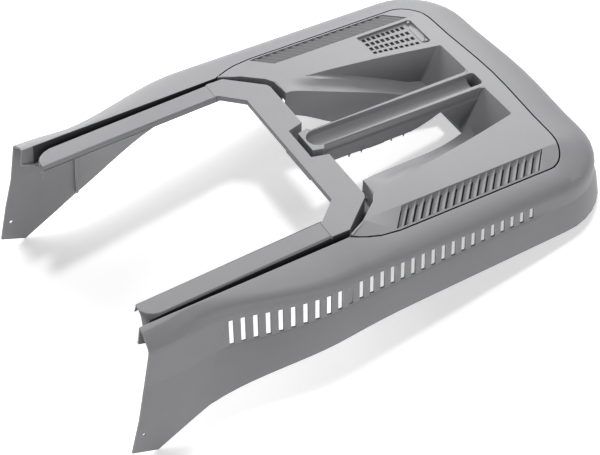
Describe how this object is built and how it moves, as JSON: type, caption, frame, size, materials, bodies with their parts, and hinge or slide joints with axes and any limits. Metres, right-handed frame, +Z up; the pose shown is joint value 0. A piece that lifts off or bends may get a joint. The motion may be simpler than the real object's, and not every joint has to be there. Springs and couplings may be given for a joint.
{
  "type": "lawn mower grass box top",
  "caption": "Top of a mower's grass box: U-shaped vented shell with two front wings, rails round an open front, louvred centre panel and grooved carrying handle between two hand pockets.",
  "frame": {"origin": "bottom centre of the box round the part as it stands on its two wing tips and its rear rim", "axes": "+Y to the closed rear end, +X to the side on the right seen from the front, +Z up; the wings point to -Y"},
  "size_m": [0.424, 0.643, 0.1619],
  "materials": {
    "frame_mould": "satin moulded light grey",
    "panel_mould": "satin moulded light grey"
  },
  "bodies": {
    "root": {"outer_frame": "frame_mould", "centre_panel": "panel_mould"}
  },
  "joints": []
}
